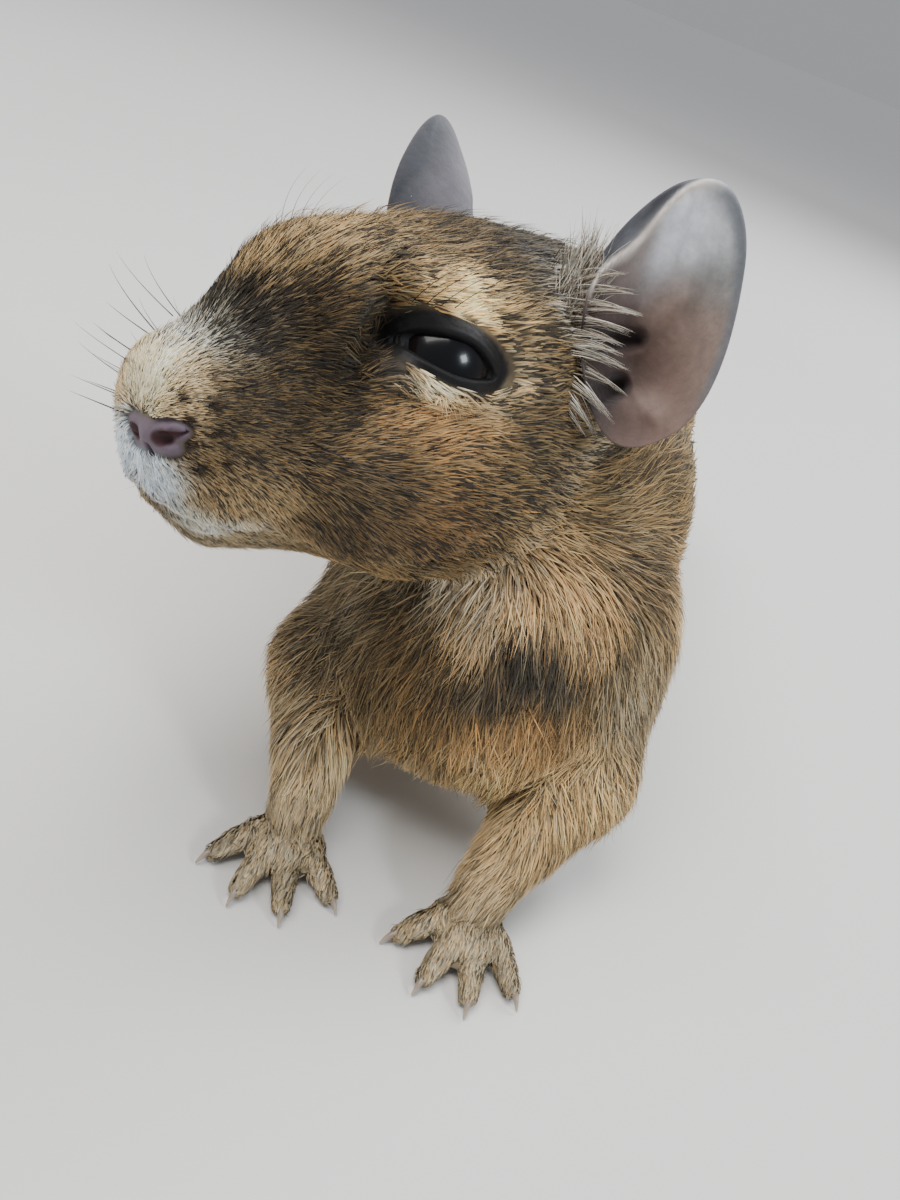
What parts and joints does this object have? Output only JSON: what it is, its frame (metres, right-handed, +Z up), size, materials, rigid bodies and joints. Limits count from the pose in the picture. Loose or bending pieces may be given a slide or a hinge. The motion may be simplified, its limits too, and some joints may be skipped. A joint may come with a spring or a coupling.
{
  "type": "degu museum model",
  "caption": "Life-size still model of an adult degu on all fours with its head turned aside, rounded cup ears and a long tail that ends in a brush.",
  "frame": {"origin": "middle of the bounding box's underside, at floor level between the feet", "axes": "+Z up, +Y from the shoulders to the tail, so the body faces -Y and its left side is +X"},
  "size_m": [0.0634, 0.255, 0.0754],
  "materials": {
    "agouti_fur": "dense ticked brown and ochre fur",
    "pale_fur": "short beige-grey fur over the toes",
    "ear_skin": "thin grey-pink skin with fine down",
    "eye": "black and wet",
    "tail_fur": "coarse dark bristles"
  },
  "bodies": {
    "root": {"head": "agouti_fur", "eye_left": "eye", "eye_right": "eye", "ear_left": "ear_skin", "ear_right": "ear_skin", "neck": "agouti_fur", "torso": "agouti_fur", "foreleg_left": "agouti_fur", "foreleg_right": "agouti_fur", "forepaw_left": "pale_fur", "forepaw_right": "pale_fur", "hindleg_left": "agouti_fur", "hindleg_right": "agouti_fur", "hindfoot_left": "pale_fur", "hindfoot_right": "pale_fur", "tail_base": "tail_fur", "tail_middle": "tail_fur", "tail_tip": "tail_fur"}
  },
  "joints": []
}
